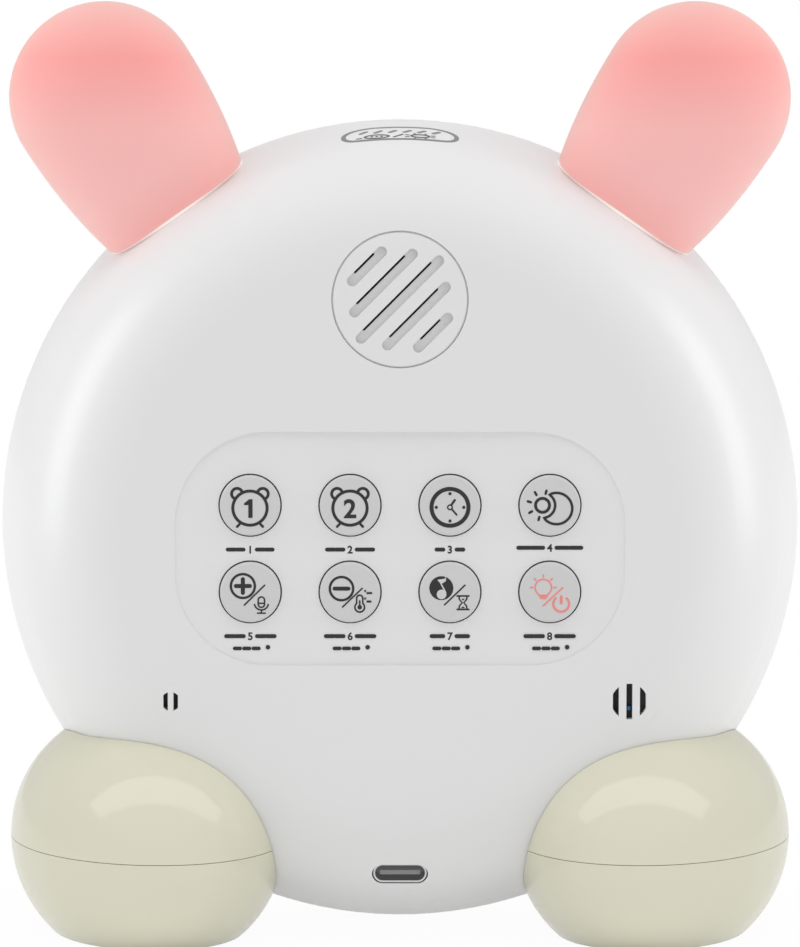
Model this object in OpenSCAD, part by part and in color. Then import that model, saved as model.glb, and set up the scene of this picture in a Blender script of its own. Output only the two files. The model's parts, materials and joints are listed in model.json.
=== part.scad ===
// Round kids alarm clock with two glowing ears and two feet.
// Millimetres. The rear face looks along +Y, the display along -Y, +Z is up.
// The origin is on the floor, under the middle of the clock.

/* [Casing] */
// Largest radius of the casing
body_r = 68; // [64:0.5:74]
// Gap between the casing and the floor
floor_gap = 0.8; // [0.4:0.1:4]
// Wall thickness of the casing shells
wall = 2.2; // [1.8:0.1:2.6]
// Depth position of the largest radius, where the shells part
part_y = -16; // [-18:0.5:-14]
// Depth of the crowned side behind the parting plane
crown_rear = 24; // [21:0.5:25]
// Depth of the crowned side before the parting plane
crown_front = 4; // [3:0.5:5]
// Radius of the rear shoulder
shoulder_arc = 20.5; // [19:0.5:22]
// Radius of the gently domed rear face
dome_arc = 1200; // [900:50:1600]
// Radius of the roll into the front face
front_arc = 9; // [8:0.5:10]
// Height of the lip that locates the two shells
lip_h = 2; // [1.4:0.1:2.6]
// Radial clearance of the lip
lip_gap = 0.15; // [0.1:0.05:0.3]
// Open seam between the two shells
seam_gap = 0.2; // [0.1:0.05:0.3]

/* [Button panel] */
// Width of the shallow panel
panel_w = 74.4; // [70:0.2:78]
// Height of the shallow panel
panel_h = 38.8; // [36:0.2:42]
// Corner radius of the panel
panel_r = 15.4; // [12:0.2:17]
// Depth of the flat panel below the crown of the rear face
panel_drop = 0.75; // [0.7:0.05:1]
// Wall left behind the panel
panel_wall = 2; // [1.6:0.1:2.4]
// Height of the panel centre above the casing centre
panel_z = -1.6; // [-3:0.1:0]
// Distance between button columns
button_pitch_x = 16.5; // [15:0.1:17]
// Distance between button rows
button_pitch_z = 14.4; // [14:0.1:15.5]
// Radius of a button cap
cap_r = 5; // [4.6:0.05:5.6]
// Gap around a button cap
cap_gap = 0.25; // [0.2:0.05:0.35]
// How far a cap stands out of the panel
cap_proud = 0.8; // [0.7:0.05:1.2]
// Radius of the flange that keeps a cap in the casing
cap_flange_r = 6.3; // [6.1:0.05:6.6]
// Thickness of that flange
cap_flange_h = 1; // [0.8:0.1:1.2]
// Travel of a button
travel = 0.6; // [0.3:0.05:0.6]
// Free gap kept between moving and fixed faces
run_gap = 0.3; // [0.2:0.05:0.4]
// Radius of the stem under a cap
stem_r = 1.6; // [1.4:0.1:1.7]
// Side of a switch housing
switch_w = 6; // [5.6:0.1:6.4]
// Height of a switch housing
switch_h = 3.5; // [3.3:0.1:3.9]

/* [Speaker] */
// Distance from the casing's top to the speaker centre
speaker_drop = 28.4; // [27.6:0.2:30]
// Radius of the pressed-in grille disc
grille_r = 11; // [10.6:0.1:11.6]
// Gap around the grille disc
grille_gap = 0.3; // [0.25:0.05:0.45]
// Depth of the groove around the grille disc
groove_t = 0.4; // [0.3:0.05:0.6]
// Distance between grille slots
slot_pitch = 3.85; // [3.7:0.05:4]
// Width of a grille slot
slot_w = 1.75; // [1.5:0.05:2]
// Half length of the middle grille slot, to its end centres
slot_half_mid = 9.05; // [8.6:0.05:9.3]
// Half length of the slots beside it
slot_half_next = 6.75; // [6.4:0.05:7]
// Half length of the outermost slots
slot_half_last = 3.4; // [3:0.05:3.8]
// Width of the open slit in each slot
slit_w = 0.4; // [0.3:0.05:0.6]
// Depth of the closed part of a slot
slot_depth = 1.1; // [0.8:0.1:1.3]
// Radius of the loudspeaker frame
driver_r = 14.2; // [13.6:0.1:14.6]
// Wall of the loudspeaker tube
tube_wall = 2; // [1.6:0.1:2.2]
// Depth position of the loudspeaker seat
seat_y = 14.2; // [13.4:0.1:14.6]
// Thickness of the loudspeaker frame's flange
driver_flange = 1; // [0.8:0.1:1.2]
// Thickness of the loudspeaker gasket
gasket_t = 0.4; // [0.3:0.1:0.6]
// Radius of the loudspeaker magnet
magnet_r = 8.5; // [7.5:0.1:9]

/* [Vents and socket] */
// Sideways position of both vents
vent_x = 38; // [36:0.2:39]
// Height of both vents above the casing centre
vent_z = -27.1; // [-28:0.1:-26]
// Radius of the temperature vent
temp_r = 3; // [2.8:0.05:3.2]
// Width of a temperature slot
temp_slot = 1; // [0.9:0.05:1.2]
// Distance between temperature slots
temp_pitch = 2.25; // [2.1:0.05:2.4]
// Radius of the microphone vent
mic_r = 1.6; // [1.4:0.05:1.8]
// Width of a microphone slot
mic_slot = 0.76; // [0.6:0.02:0.9]
// Distance between the microphone slots
mic_pitch = 1.68; // [1.5:0.02:1.8]
// Height of the charging socket above the casing's lowest point
usb_rise = 11.4; // [11:0.1:12.5]
// Width of the socket's metal shell
usb_w = 8.94; // [8.9:0.02:9]
// Height of the socket's metal shell
usb_h = 3.16; // [3.1:0.02:3.26]
// Wall of the socket's metal shell
usb_t = 0.3; // [0.25:0.01:0.35]
// Length of the socket's metal shell
usb_len = 7.3; // [6.5:0.1:7.6]
// Height of the socket above the main board
usb_stand = 1.16; // [1.1:0.02:1.4]
// Gap around the socket
usb_gap = 0.2; // [0.15:0.05:0.3]

/* [Ears] */
// Angle from the top at which an ear stands on the casing
ear_dir = 35.2; // [33:0.1:38]
// Tilt of an ear from upright
ear_tilt = 32.5; // [30:0.5:36]
// Depth position of the ears
ear_y = -3; // [-4:0.5:-1]
// How far the ear's base lies inside the casing's radius
ear_sink = 3.4; // [3:0.1:4]
// Height of an ear above its base
ear_h = 39.1; // [34:0.2:44]
// Half width of an ear
ear_w = 16.05; // [15:0.1:17.5]
// Half height of the ellipsoid that the ear's lower part follows
ear_low = 40; // [38:0.5:46]
// Thickness of an ear as a share of its width
ear_flat = 0.72; // [0.65:0.01:0.8]
// Wall of the soft ear cover
ear_wall = 1.8; // [1.4:0.1:2.4]
// Thickness of the ear's seat on the casing
ear_seat_t = 0.5; // [0.4:0.1:1]
// Radius of the hollow neck through the casing
neck_r = 6; // [5:0.1:6.5]

/* [Feet] */
// Sideways position of a foot's centre
foot_x = 42.75; // [41:0.2:45]
// Height of a foot's seam and widest place
foot_z = 16.15; // [15:0.1:17]
// Half width of a foot
foot_w = 22.95; // [21:0.1:24]
// Half height of a foot's egg shape
foot_h = 22.2; // [21:0.1:24]
// Half length of a foot
foot_len = 33.5; // [32.5:0.1:36]
// Angle by which the toes point outwards
foot_turn = 10.5; // [6:0.5:14]
// Wall of a foot shell
foot_wall = 2.4; // [2:0.1:3]
// Gap between a foot and the casing
foot_gap = 0.12; // [0.1:0.01:0.2]
// Gap at the seam between a foot's halves
foot_seam = 0.1; // [0.08:0.01:0.2]
// Sideways distance of a pad from a foot's middle
pad_x = 5; // [4:0.2:6]
// Lengthwise distance of a pad from a foot's middle
pad_y = 8; // [7.4:0.2:9]
// Radius of a foot pad
pad_r = 4; // [3.6:0.1:4.4]
// Thickness of a foot pad
pad_t = 1.3; // [1:0.1:1.6]
// How far a pad stands out of the sole
pad_proud = 0.3; // [0.3:0.05:0.5]

/* [Front] */
// Width of the bezel around the night light lens
bezel_w = 13; // [12:0.5:16]
// Radius of the lens surface
lens_arc = 620; // [560:10:800]
// Thickness of the lens
lens_t = 2; // [1.6:0.1:2.4]
// Width of the ledge that carries the lens
ledge_w = 2.4; // [2:0.1:3]
// Gap around the lens and the window
lens_gap = 0.15; // [0.1:0.01:0.25]
// Width of the display window
window_w = 60; // [58:0.5:66]
// Height of the display window
window_h = 26; // [24:0.5:30]
// Corner radius of the display window
window_r = 7; // [4:0.5:10]
// Height of a digit
digit_h = 15; // [13:0.5:16]
// Width of a digit
digit_w = 8; // [7:0.2:8.6]
// Width of a lit segment
segment_w = 1.7; // [1.4:0.1:1.9]
// Distance between digits
digit_pitch = 11.6; // [11:0.1:12]
// Depth of the digit mask
mask_t = 4; // [3:0.1:5]

/* [Boards and battery] */
// Thickness of every circuit board
board_t = 1.6; // [1.2:0.1:2]
// Width of the button board
key_board_w = 66; // [64:1:70]
// Height of the button board
key_board_h = 30; // [27:0.5:31]
// Width of the main board on each side of the battery
main_margin = 7; // [6.8:0.1:8]
// Height of the main board's top edge above the casing centre
main_top = -22; // [-23:0.5:-21]
// Height of the main board's shoulder above the casing centre
main_low = -48; // [-49:0.5:-46]
// Width of the battery
cell_w = 34; // [30:1:35]
// Height of the battery
cell_h = 24; // [20:1:25]
// Thickness of the battery
cell_t = 8; // [6:0.5:9]
// Radius of a lead's insulation
lead_r = 0.6; // [0.5:0.05:0.7]

/* [Fasteners] */
// Radius of a small screw's thread
screw_r = 1; // [0.9:0.05:1.1]
// Radius of a small screw's head
screw_head_r = 1.9; // [1.8:0.05:2.1]
// Height of a small screw's head
screw_head_h = 1.3; // [1.1:0.1:1.5]
// Wall of a screw post around its thread
post_wall = 1.5; // [1.3:0.1:1.7]
// Clearance of a screw in a plain hole
screw_gap = 0.2; // [0.15:0.05:0.3]
// Gap between faces that are seated on each other
fit_gap = 0.05; // [0.03:0.01:0.08]

/* [Hidden] */
$fn = 72;
arc_fn = 720;
far = 400;
// how far a small arc stands out of its neighbours, so that the two cross cleanly
blend = 0.002;
overrun = 3;
sides = [-1, 1];
cz = body_r + floor_gap;
lens_r = body_r - bezel_w;
speaker_z = body_r - speaker_drop;
usb_z = usb_rise - body_r;

// Depth of the rear surface at a distance from the casing's axis
function skin_y(r) = r > shoulder_r ? shoulder_y + sqrt(pow(shoulder_arc, 2) - pow(r - shoulder_c, 2))
    : dome_c + sqrt(pow(dome_arc, 2) - pow(r, 2));

// Radius of the casing where its crown is, at a depth
function casing_r(y) = sqrt(pow(body_r, 2) - pow(y - part_y, 2));

// casing profile: each arc is tangent to the next one
crown_a = asin(crown_rear / body_r);
shoulder_c = (body_r - shoulder_arc) * cos(crown_a);
shoulder_y = part_y + (body_r - shoulder_arc) * sin(crown_a);
dome_c = shoulder_y - sqrt(pow(dome_arc - shoulder_arc, 2) - pow(shoulder_c, 2));
shoulder_a = atan2(shoulder_y - dome_c, shoulder_c);
shoulder_r = shoulder_c + shoulder_arc * cos(shoulder_a);
crown_end = part_y + crown_rear;
front_a = asin(crown_front / body_r);
front_c = (body_r - front_arc) * cos(front_a);
front_cy = part_y - (body_r - front_arc) * sin(front_a);
front_y = front_cy - front_arc;
face_y = dome_c + dome_arc;

// button stack, from the panel towards the front
panel_y = face_y - panel_drop;
pad_plane = panel_y - panel_wall;
flange_top = pad_plane - run_gap;
flange_low = flange_top - cap_flange_h;
switch_top = flange_low - travel - run_gap;
key_board_y = switch_top - switch_h;
button_x = [for (i = [-1.5:1:1.5]) i * button_pitch_x];
stem_low = switch_top - 1.7;
cap_edge = 0.4;
dome_top = stem_low - travel - 0.1;
dome_low = key_board_y + 0.5;
key_posts = [for (i = [-1:1]) [i * button_pitch_x, panel_z]];

// screw lengths, and the free hole past each tip
key_screw = 5.5;
main_screw = 7;
speaker_screw = 5;
tray_screw = 5;
case_screw = 11;
ear_screw = 7;
foot_screw = 9;
tip_gap = 0.6;

ear_base_r = body_r - ear_sink;
ear_board_z = 6;
ear_board_t = 1;
neck_in = 6;
neck_wall = 1.6;
ear_screw_x = 9.6;
ear_screw_z = -2.4;
ear_boss_h = wall + 0.7;
ear_board_w = 2 * ear_screw_x + 2.8;
ear_board_d = 9;
ear_led_step = 7;

foot_screw_y = [part_y + 5, part_y + 19];
foot_rib_t = 2;
foot_screw_a = 126;
foot_screw_in = wall + 0.8;
foot_post_h = foot_screw - foot_screw_in + tip_gap + 1.5;
sole_z = pad_proud;
foot_head_z = 8;
foot_tip_z = foot_z + 3.2;

// front stack, from the lens towards the rear
lens_c = front_y + sqrt(pow(lens_arc, 2) - pow(lens_r, 2));
ledge_y = front_y + lens_t + fit_gap;
ledge_t = 1.4;
mask_w = window_w - 4;
mask_h = window_h - 3;
mask_y = lens_c - sqrt(pow(lens_arc - lens_t, 2) - pow(norm([mask_w, mask_h]) / 2, 2)) + run_gap;
display_y = mask_y + mask_t + fit_gap;
tray_y = front_y + 9.5;
tray_t = 1.6;
tray_r = lens_r - ledge_w - 5.6;
tray_rim = 1.4;
led = [3.5, 2.8, 0.8];
light_board_w = 9;
light_r = tray_r - tray_rim - light_board_w / 2 - 2.1;
display_posts = [for (i = sides, j = sides) [i * (mask_w / 2 - 3), j * (mask_h / 2 - 3)]];
colon_shift = 1.2;

// screws that join the shells, under the lens
post_r = screw_r + post_wall;
rim_post_r = lens_r - ledge_w - 2;
case_joint_y = part_y - 2;
case_floor = 2.8;
case_posts = [for (a = [45:90:315]) rim_post_r * [sin(a), cos(a)]];
tray_posts = [for (a = [0:90:270]) rim_post_r * [sin(a), cos(a)]];

// main board and socket
usb_edge_r = usb_h / 2 - usb_z;
usb_y = skin_y(usb_edge_r) - 0.1;
main_y = usb_y - usb_len - usb_stand;
main_front = main_y - board_t;
main_half_w = cell_w / 2 + main_margin;
main_tail = usb_z - usb_h / 2 - 1.5;
main_tail_w = usb_w / 2 + 3.5;
main_posts = [for (s = sides, z = [main_top - 4, main_low + 5]) [s * (main_half_w - 4), z]];
cell_z = (main_top + main_low) / 2;
ribbon_w = 12;
ribbon_t = 0.5;
ribbon_z = -mask_h / 2 + 4;

// loudspeaker stack
tube_end = seat_y - gasket_t - driver_flange - 0.6;
retainer_t = 1.2;
retainer_y = tube_end - fit_gap - retainer_t;
driver_depth = 7;
magnet_t = 4;
driver_y = seat_y - gasket_t - fit_gap;
magnet_y = driver_y - driver_depth - fit_gap;
speaker_posts = [for (a = [90:120:330])
    [0, speaker_z] + (driver_r + tube_wall + 1.8) * [sin(a), cos(a)]];

// sensors behind the vents
boot_r = 3.2;
sensor_y = skin_y(norm([vent_x, vent_z]) + boot_r) - wall;
sensor_low = sensor_y - 3;
holder_r = 3.5;
capsule_r = 2.25;
bead_r = 0.42;
bead_drop = 1.35;

// ---------- shared shapes ----------

// Sector with its apex at c, between two angles
module wedge(c, a0, a1, reach = far) {
    polygon(concat([c], [for (i = [0:4]) let (a = a0 + (a1 - a0) * i / 4)
        c + reach * [cos(a), sin(a)]]));
}

// Casing outline in radius and depth, moved inwards by inset
module casing_outline(inset) {
    intersection() {
        union() {
            intersection() {
                translate([0, part_y]) circle(r = body_r - inset, $fn = arc_fn);
                wedge([0, part_y], -front_a, crown_a);
            }
            intersection() {
                translate([shoulder_c, shoulder_y])
                    circle(r = shoulder_arc + blend - inset, $fn = arc_fn);
                wedge([shoulder_c, shoulder_y], crown_a - overrun, shoulder_a + overrun);
            }
            intersection() {
                translate([0, -1000]) translate([0, dome_c + 1000])
                    circle(r = dome_arc - inset, $fn = 4 * arc_fn);
                wedge([0, dome_c], shoulder_a, 90, 2 * dome_arc);
                translate([0, front_cy]) square([far, far]);
            }
            intersection() {
                translate([front_c, front_cy]) circle(r = front_arc + blend - inset, $fn = arc_fn);
                wedge([front_c, front_cy], -90 - overrun, overrun - front_a);
            }
            polygon([[0, front_y + inset], [front_c, front_y + inset], [front_c, part_y],
                [shoulder_c, shoulder_y + shoulder_arc / 2], [0, shoulder_y + shoulder_arc / 2]]);
        }
        translate([0, -far / 2]) square([far, far]);
    }
}

// Turns an outline in radius and depth around the casing's axis
module spin() translate([0, 0, cz]) rotate([-90, 0, 0]) rotate_extrude() children();

module casing_solid(inset) spin() casing_outline(inset);

// The ball that the crown is part of, which is all that the ears touch
module crown_ball(grow) translate([0, part_y, cz]) sphere(r = body_r + grow);

// The space of the casing that the feet leave free: its crown and its shoulder
module casing_room(grow) {
    depth = crown_end - front_y;
    intersection() {
        crown_ball(grow);
        translate([0, crown_end - depth / 2, cz])
            cube([3 * body_r, depth, 3 * body_r], center = true);
    }
    spin() intersection() {
        casing_outline(-grow);
        translate([0, crown_end - 0.1]) square([far, far]);
    }
}

// Extrudes a drawing in x and z, measured from the casing centre
module slab(y0, y1)
    translate([0, y1, cz]) rotate([90, 0, 0]) linear_extrude(height = y1 - y0) children();

// Round bar along the depth, at a place measured from the casing centre
module bar(place, r, y0, y1)
    translate([place[0], y0, cz + place[1]]) rotate([-90, 0, 0]) cylinder(r = r, h = y1 - y0);

module bars(places, r, y0, y1) for (p = places) bar(p, r, y0, y1);

module rounded(w, h, r) {
    square([w - 2 * r, h], center = true);
    square([w, h - 2 * r], center = true);
    for (i = sides, j = sides) translate([i * (w / 2 - r), j * (h / 2 - r)]) circle(r = r);
}

module stadium(w, h) {
    square([w - h, h], center = true);
    for (i = sides) translate([i * (w - h) / 2, 0]) circle(d = h);
}

module ring(r_out, r_in, fn = $fn) {
    difference() {
        circle(r = r_out, $fn = fn);
        circle(r = r_in, $fn = fn);
    }
}

// Cross head screw along +Z, the underside of its head at z = 0
module screw(length) {
    difference() {
        translate([0, 0, -screw_head_h]) cylinder(r = screw_head_r, h = screw_head_h);
        for (a = [0, 90]) rotate([0, 0, a]) translate([0, 0, -screw_head_h])
            cube([screw_head_r * 1.3, 0.4, 1.2], center = true);
    }
    cylinder(r = screw_r, h = length);
}

// Screws along the depth that point to the rear, or to the front when way is -1
module screws_y(places, y, length, way = 1)
    for (p = places) translate([p[0], y, cz + p[1]]) rotate([-90 * way, 0, 0]) screw(length);

// Straight round wire between two points
module lead(a, b) {
    d = b - a;
    translate(a) rotate([0, acos(d[2] / norm(d)), atan2(d[1], d[0])])
        cylinder(r = lead_r, h = norm(d));
}

// ---------- casing ----------

module vent(x, r, w, pitch, count) {
    translate([x, vent_z]) intersection() {
        circle(r = r);
        for (i = [0:count - 1]) translate([(i - (count - 1) / 2) * pitch, 0])
            square([w, 3 * r], center = true);
    }
}

module button_places() {
    for (x = button_x, j = sides)
        translate([x, panel_z + j * button_pitch_z / 2]) children();
}

// Bosses from depth y0 to the middle of the rear wall
module bosses(places, r, y0) for (p = places) bar(p, r, y0, skin_y(norm(p)) - wall / 2);

// Everything that grows from the inside of the rear shell
module rear_bosses() {
    slab(pad_plane, panel_y) translate([0, panel_z]) rounded(panel_w + 2, panel_h + 2, panel_r);
    bars(key_posts, post_r, key_board_y, panel_y);
    bosses(main_posts, post_r, main_y);
    bosses(case_posts, post_r, case_joint_y + seam_gap);
    bosses([[vent_x, vent_z]], boot_r + post_wall, sensor_low);
    bosses([[-vent_x, vent_z]], holder_r + post_wall, sensor_low);
    intersection() {
        union() {
            bars(speaker_posts, post_r, tube_end, face_y);
            bar([0, speaker_z], driver_r + lip_gap + tube_wall, tube_end, face_y);
        }
        casing_solid(wall / 2);
    }
    for (s = sides) {
        at_foot_screws(s) translate([0, 0, -foot_screw_in]) cylinder(r = post_r, h = wall);
        in_ear(s) for (i = sides) translate([i * ear_screw_x, 0, ear_screw_z])
            cylinder(r = post_r, h = ear_boss_h);
    }
}

module rear_shell() color("whitesmoke") {
    difference() {
        union() {
            spin() difference() {
                casing_outline(0);
                casing_outline(wall);
                translate([0, part_y + seam_gap - far]) square([far, far]);
            }
            spin() translate([body_r - wall, part_y + seam_gap - lip_h])
                square([wall / 2 - lip_gap, lip_h + 1]);
            rear_bosses();
        }
        slab(panel_y, face_y + 1) translate([0, panel_z]) rounded(panel_w, panel_h, panel_r);
        slab(pad_plane - 1, face_y + 1) button_places() circle(r = cap_r + cap_gap);
        bars(key_posts, screw_r, key_board_y - 1, key_board_y - board_t + key_screw + tip_gap);
        bars(main_posts, screw_r, main_y - 1, main_front + main_screw + tip_gap);
        bars(case_posts, screw_r, case_joint_y - 1,
            case_joint_y - case_floor + case_screw + tip_gap);
        bars(speaker_posts, screw_r, tube_end - 1, retainer_y + speaker_screw + tip_gap);
        bar([0, speaker_z], grille_r + grille_gap, tube_end - 1, face_y + 1);
        bar([0, speaker_z], driver_r + lip_gap, tube_end - 1, seat_y);
        bar([vent_x, vent_z], boot_r + fit_gap, sensor_low - 1, sensor_y);
        bar([-vent_x, vent_z], holder_r + fit_gap, sensor_low - 1, sensor_y);
        slab(sensor_y - 1, face_y + 1) {
            vent(vent_x, mic_r, mic_slot, mic_pitch, 2);
            vent(-vent_x, temp_r, temp_slot, temp_pitch, 3);
        }
        slab(main_y + 1, face_y + 1) translate([0, usb_z])
            stadium(usb_w + 2 * usb_gap, usb_h + 2 * usb_gap);
        for (s = sides) {
            in_ear(s) cylinder(r = neck_r + lip_gap, h = 16, center = true);
            in_ear(s) for (i = sides) translate([i * ear_screw_x, 0, 0])
                cylinder(r = screw_r + screw_gap, h = 16, center = true);
            at_foot_screws(s) cylinder(r = screw_r + screw_gap, h = 12, center = true);
        }
    }
}

module front_shell() color("whitesmoke") {
    difference() {
        union() {
            spin() difference() {
                casing_outline(0);
                casing_outline(wall);
                translate([0, part_y]) square([far, far]);
                translate([0, front_y - 1]) square([lens_r - ledge_w, wall + 2]);
            }
            intersection() {
                union() {
                    spin() translate([lens_r - ledge_w, ledge_y]) square([front_arc, ledge_t]);
                    bars(case_posts, screw_head_r + screw_gap + 1, ledge_y, case_joint_y);
                    bars(tray_posts, post_r, ledge_y, tray_y - fit_gap);
                }
                casing_solid(wall / 2);
            }
        }
        spin() translate([body_r - wall - 1, part_y - lip_h - seam_gap])
            square([wall / 2 + 1, lip_h + 1]);
        spin() translate([0, front_y - 1]) square([lens_r + lens_gap, ledge_y - front_y + 1]);
        bars(case_posts, screw_r + screw_gap, front_y - 2, case_joint_y + 1);
        bars(case_posts, screw_head_r + screw_gap, front_y - 2, case_joint_y - case_floor);
        bars(tray_posts, screw_r, tray_y + tray_t - tray_screw - tip_gap, tray_y + 1);
    }
}

module case_screws() color("silver") 
    screws_y(case_posts, case_joint_y - case_floor, case_screw);

// ---------- front ----------

// Band of the lens surface, from depth t0 to depth t1 below it
module lens_band(t0, t1, r) {
    spin() intersection() {
        translate([0, lens_c]) ring(lens_arc - t0, lens_arc - t1, 2 * arc_fn);
        translate([0, lens_c - lens_arc - 1]) square([r, 8]);
    }
}

module front_lens() color("ivory") {
    difference() {
        lens_band(0, lens_t, lens_r);
        slab(front_y - 6, front_y + 6)
            rounded(window_w + 2 * lens_gap, window_h + 2 * lens_gap, window_r + lens_gap);
    }
}

module display_window() color("dimgray") {
    intersection() {
        lens_band(0.1, lens_t, window_w);
        slab(front_y - 6, front_y + 6) rounded(window_w, window_h, window_r);
    }
}

// The seven bars of one digit and their outlines grown by g
module seven_bars(g) {
    arm = digit_h / 2 - segment_w * 0.5 - 0.7;
    for (j = [-1:1]) translate([0, j * (digit_h - segment_w) / 2])
        square([digit_w - segment_w - 0.9 + 2 * g, segment_w + 2 * g], center = true);
    for (i = sides, j = sides)
        translate([i * (digit_w - segment_w) / 2, j * (digit_h - segment_w) / 4])
            square([segment_w + 2 * g, arm - segment_w + 2 * g], center = true);
}

module all_bars(g) {
    for (i = [-1.5:1:1.5]) translate([i * digit_pitch + sign(i) * colon_shift, 0]) seven_bars(g);
    for (j = sides) translate([0, j * digit_h / 5]) circle(r = segment_w / 2 + g);
}

module digit_mask() color("black") {
    difference() {
        slab(mask_y, mask_y + mask_t) rounded(mask_w, mask_h, 3);
        slab(mask_y - 1, mask_y + mask_t + 1) all_bars(fit_gap);
    }
}

module digit_segments() color("lightyellow") slab(mask_y + 0.2, mask_y + mask_t) all_bars(0);

module display_board() color("darkgreen") {
    difference() {
        slab(display_y, display_y + board_t) square([mask_w, mask_h], center = true);
        bars(display_posts, screw_r + fit_gap, display_y - 1, display_y + 3);
    }
}

module light_tray() color("white") {
    difference() {
        union() {
            slab(tray_y, tray_y + tray_t) circle(r = tray_r);
            slab(tray_y - 5, tray_y + tray_t) ring(tray_r, tray_r - tray_rim);
            bars(tray_posts, post_r + 1.2, tray_y, tray_y + tray_t);
            bars(display_posts, post_r, display_y + board_t + fit_gap, tray_y + tray_t / 2);
            bars(display_posts, screw_r, display_y, tray_y);
        }
        bars(tray_posts, screw_r + screw_gap, tray_y - 1, tray_y + 3);
        slab(tray_y - 1, tray_y + 3) translate([0, ribbon_z])
            square([ribbon_w + 1, ribbon_t + 1.5], center = true);
    }
}

module tray_screws() color("silver") 
    screws_y(tray_posts, tray_y + tray_t, tray_screw, -1);

module light_board() color("white")
    slab(tray_y - fit_gap - board_t, tray_y - fit_gap)
        ring(light_r + light_board_w / 2, light_r - light_board_w / 2);

module night_leds() color("khaki") {
    for (a = [0:36:324]) translate([0, 0, cz]) rotate([0, a, 0])
        translate([0, tray_y - 2 * fit_gap - board_t - led[2] / 2, light_r])
            cube([led[0], led[2], led[1]], center = true);
}

// ---------- buttons ----------

// Cap with its flange and stem; i and j count pitches from the panel's centre
module key_cap(i, j) {
    place = [i * button_pitch_x, panel_z + j * button_pitch_z];
    top = panel_y + cap_proud;
    color("silver") {
        translate([place[0], flange_low, cz + place[1]]) rotate([-90, 0, 0]) rotate_extrude() {
            square([cap_r - cap_edge, top - flange_low]);
            square([cap_r, top - flange_low - cap_edge]);
            translate([cap_r - cap_edge, top - flange_low - cap_edge]) circle(r = cap_edge);
        }
        bar(place, cap_flange_r, flange_low, flange_top);
        bar(place, stem_r, stem_low, flange_low);
    }
}

module alarm_one_button() key_cap(1.5, 0.5);
module alarm_two_button() key_cap(0.5, 0.5);
module time_button() key_cap(-0.5, 0.5);
module sun_moon_button() key_cap(-1.5, 0.5);
module volume_up_button() key_cap(1.5, -0.5);
module volume_down_button() key_cap(0.5, -0.5);
module sound_button() key_cap(-0.5, -0.5);
module power_button() key_cap(-1.5, -0.5);

module button_board() color("darkgreen") {
    difference() {
        slab(key_board_y - board_t, key_board_y) translate([0, panel_z])
            rounded(key_board_w, key_board_h, 3);
        bars(key_posts, screw_r + screw_gap, key_board_y - 3, key_board_y + 1);
    }
}

module switch_housings() color("black") {
    difference() {
        slab(key_board_y + fit_gap, switch_top) button_places()
            square(switch_w, center = true);
        slab(dome_low, switch_top + 1) button_places() circle(r = stem_r + lip_gap);
        slab(dome_low, dome_top + 0.1) button_places() circle(r = switch_w / 2 - 0.7);
    }
}

module switch_domes() color("gold") {
    for (x = button_x, j = sides) translate([x, dome_low + fit_gap, cz + panel_z
        + j * button_pitch_z / 2]) rotate([-90, 0, 0])
        cylinder(r1 = switch_w / 2 - 0.9, r2 = 1.2, h = dome_top - dome_low - fit_gap);
}

module button_board_screws() color("silver")
    screws_y(key_posts, key_board_y - board_t, key_screw);

// ---------- loudspeaker ----------

module grille_slots(w, shorter, shift) {
    halves = [slot_half_last, slot_half_next, slot_half_mid, slot_half_next, slot_half_last];
    translate([0, speaker_z]) rotate(-45) for (i = [0:4])
        translate([0, (i - 2) * slot_pitch + shift]) stadium(2 * (halves[i] - shorter) + w, w);
}

module speaker_grille() color("whitesmoke") {
    difference() {
        intersection() {
            casing_solid(0);
            union() {
                difference() {
                    bar([0, speaker_z], grille_r, seat_y, face_y + 1);
                    casing_solid(wall);
                }
                slab(seat_y + fit_gap, face_y) translate([0, speaker_z])
                    ring(grille_r, grille_r - 1.4);
                intersection() {
                    casing_solid(groove_t);
                    slab(seat_y + fit_gap, face_y) translate([0, speaker_z])
                        ring(grille_r + grille_gap - fit_gap, grille_r - 1.4);
                }
            }
        }
        difference() {
            slab(seat_y, face_y + 1) grille_slots(slot_w, 0, 0);
            casing_solid(slot_depth);
        }
        slab(seat_y, face_y + 1) grille_slots(slit_w, 1.3, (slot_w - slit_w) / 2);
    }
}

module grille_felt() color("black") {
    difference() {
        intersection() {
            casing_solid(wall + fit_gap);
            bar([0, speaker_z], grille_r - 1.4 - fit_gap, seat_y, face_y);
        }
        casing_solid(wall + fit_gap + 0.4);
    }
}

module speaker_gasket() color("black")
    slab(seat_y - gasket_t, seat_y - fit_gap) translate([0, speaker_z])
        ring(driver_r, grille_r + 0.4);

module at_speaker(y) translate([0, y, cz + speaker_z]) rotate([-90, 0, 0]) children();

module speaker_frame() color("dimgray") {
    lip = magnet_r + 0.6;
    at_speaker(driver_y) rotate_extrude() polygon([[11.4, 0], [driver_r, 0],
        [driver_r, -driver_flange], [12.2, -driver_flange], [lip, 1 - driver_depth],
        [lip, -driver_depth], [3, -driver_depth], [3, 0.8 - driver_depth],
        [lip - 1, 0.8 - driver_depth], [11.4, -driver_flange]]);
}

module speaker_cone() color("black")
    at_speaker(driver_y) rotate_extrude() polygon([[0, -3.4], [3.6, -4.4], [11.1, -0.7],
        [11.35, -0.7], [11.35, -0.3], [11.1, -0.3], [3.8, -3.9], [0, -2.9]]);

module speaker_magnet() color("silver")
    at_speaker(magnet_y - magnet_t) cylinder(r = magnet_r, h = magnet_t);

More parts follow.
